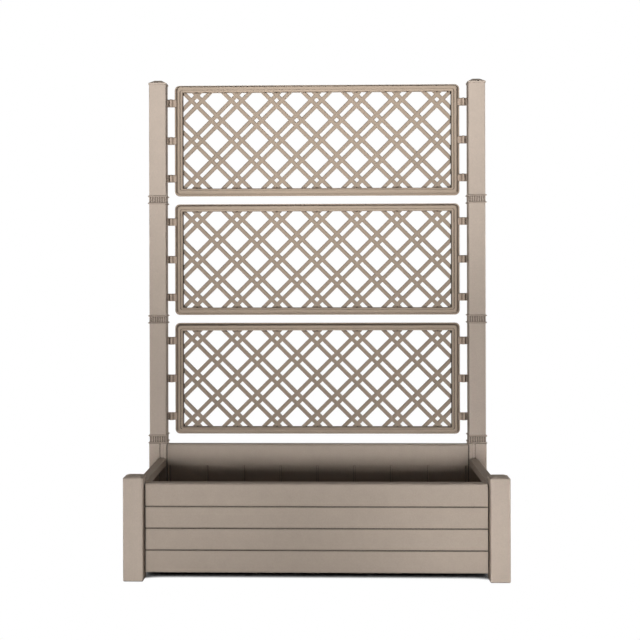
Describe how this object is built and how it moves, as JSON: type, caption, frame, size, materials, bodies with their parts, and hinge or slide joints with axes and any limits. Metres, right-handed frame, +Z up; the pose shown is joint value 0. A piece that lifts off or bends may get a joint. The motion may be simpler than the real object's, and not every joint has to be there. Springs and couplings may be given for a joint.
{
  "type": "floor planter with trellis",
  "caption": "Rectangular floor planter on corner legs, with board-faced walls, a drained floor and a stacked diagonal lattice trellis on rear posts for climbing plants.",
  "frame": {"origin": "on the ground at the middle of the plan, midway between the four legs", "axes": "+X to the right seen from the front, +Y to the back where the trellis stands, +Z up"},
  "size_m": [1.0048, 0.43, 1.375],
  "materials": {
    "wall_plastic": "warm grey-beige moulded plastic, matt with a fine grain",
    "frame_plastic": "warm grey-beige moulded plastic, matt with a fine grain",
    "lattice_plastic": "warm grey-beige moulded plastic, matt with a fine grain"
  },
  "bodies": {
    "planter": {"front_left_leg": "frame_plastic", "front_right_leg": "frame_plastic", "rear_left_leg": "frame_plastic", "rear_right_leg": "frame_plastic", "front_left_leg_cap": "frame_plastic", "front_right_leg_cap": "frame_plastic", "front_wall": "wall_plastic", "rear_wall": "wall_plastic", "left_wall": "wall_plastic", "right_wall": "wall_plastic", "rear_rail": "wall_plastic", "floor_panel": "wall_plastic", "left_lower_coupler": "frame_plastic", "right_lower_coupler": "frame_plastic"},
    "lower_tier": {"lower_trellis": "lattice_plastic", "left_lower_post": "frame_plastic", "left_lower_pegs": "lattice_plastic", "left_middle_coupler": "frame_plastic", "right_lower_post": "frame_plastic", "right_lower_pegs": "lattice_plastic", "right_middle_coupler": "frame_plastic"},
    "middle_tier": {"middle_trellis": "lattice_plastic", "left_middle_post": "frame_plastic", "left_middle_pegs": "lattice_plastic", "left_upper_coupler": "frame_plastic", "right_middle_post": "frame_plastic", "right_middle_pegs": "lattice_plastic", "right_upper_coupler": "frame_plastic"},
    "upper_tier": {"upper_trellis": "lattice_plastic", "left_upper_post": "frame_plastic", "left_upper_pegs": "lattice_plastic", "left_post_cap": "frame_plastic", "right_upper_post": "frame_plastic", "right_upper_pegs": "lattice_plastic", "right_post_cap": "frame_plastic"}
  },
  "joints": [
    {"name": "lower_tier_lift", "type": "slide", "parent": "planter", "child": "lower_tier", "axis": [0, 0, 1], "range_m": [0, 0.045]},
    {"name": "middle_tier_lift", "type": "slide", "parent": "lower_tier", "child": "middle_tier", "axis": [0, 0, 1], "range_m": [0, 0.045]},
    {"name": "upper_tier_lift", "type": "slide", "parent": "middle_tier", "child": "upper_tier", "axis": [0, 0, 1], "range_m": [0, 0.045]}
  ]
}
